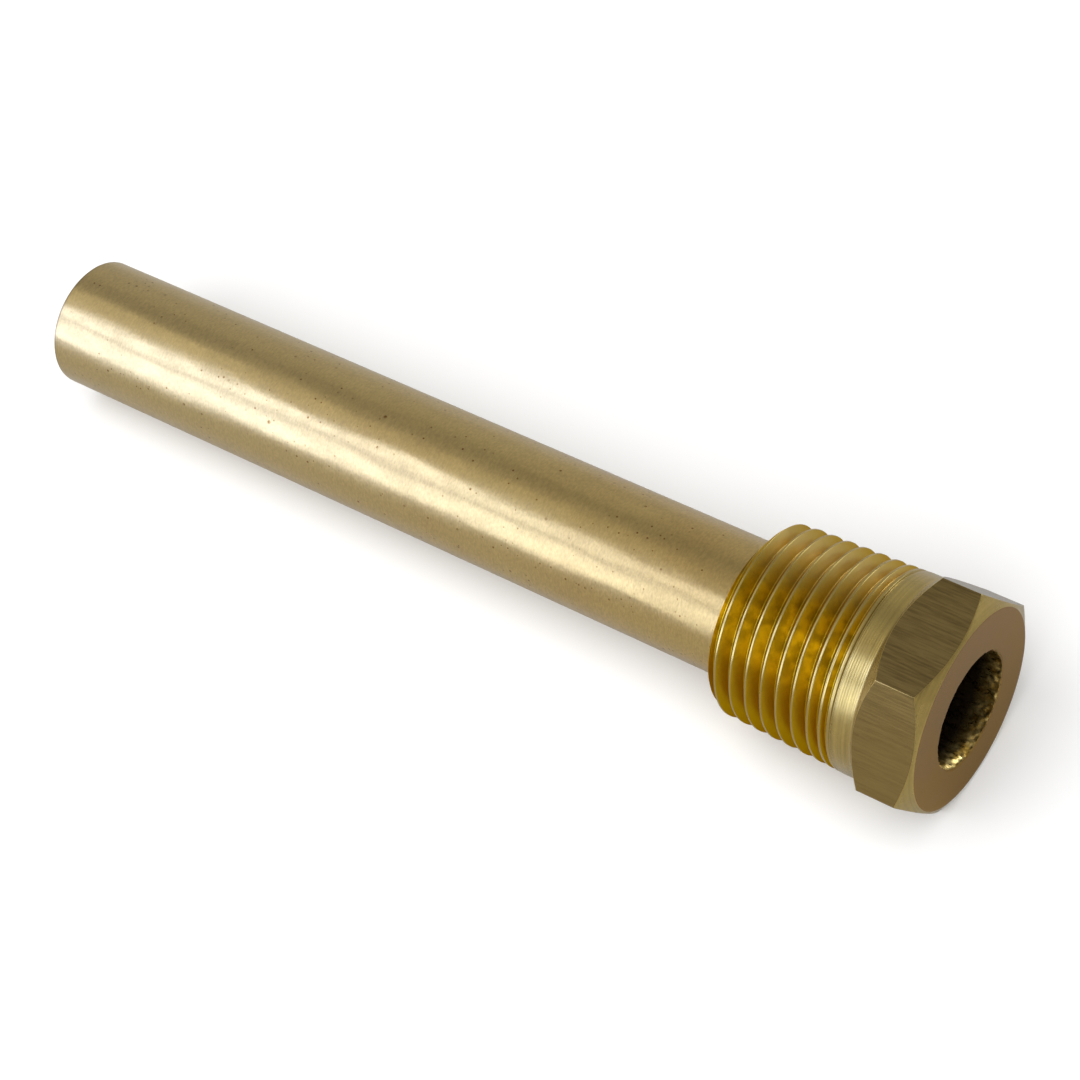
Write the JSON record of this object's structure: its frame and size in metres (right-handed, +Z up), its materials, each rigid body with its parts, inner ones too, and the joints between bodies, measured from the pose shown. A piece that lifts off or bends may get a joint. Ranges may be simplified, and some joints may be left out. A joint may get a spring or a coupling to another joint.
{
  "type": "thermowell",
  "caption": "Brass thermowell: closed tubular stem, tapered pipe thread and wrench hexagon in one piece, with a deep blind bore for a temperature sensor.",
  "frame": {"origin": "on the ground plane, at the centre of the bounding box's base", "axes": "+X along the well from the closed tip to the open face, +Y across, +Z up; the well lies on a flat of its hexagon and the edge of its tip, so its own axis rises by 2 degrees towards the open face"},
  "size_m": [0.1156, 0.0256, 0.0224],
  "materials": {
    "brass": "satin turned, with bright thread crests and drawn-bar flats"
  },
  "bodies": {
    "root": {"thermowell": "brass"}
  },
  "joints": []
}
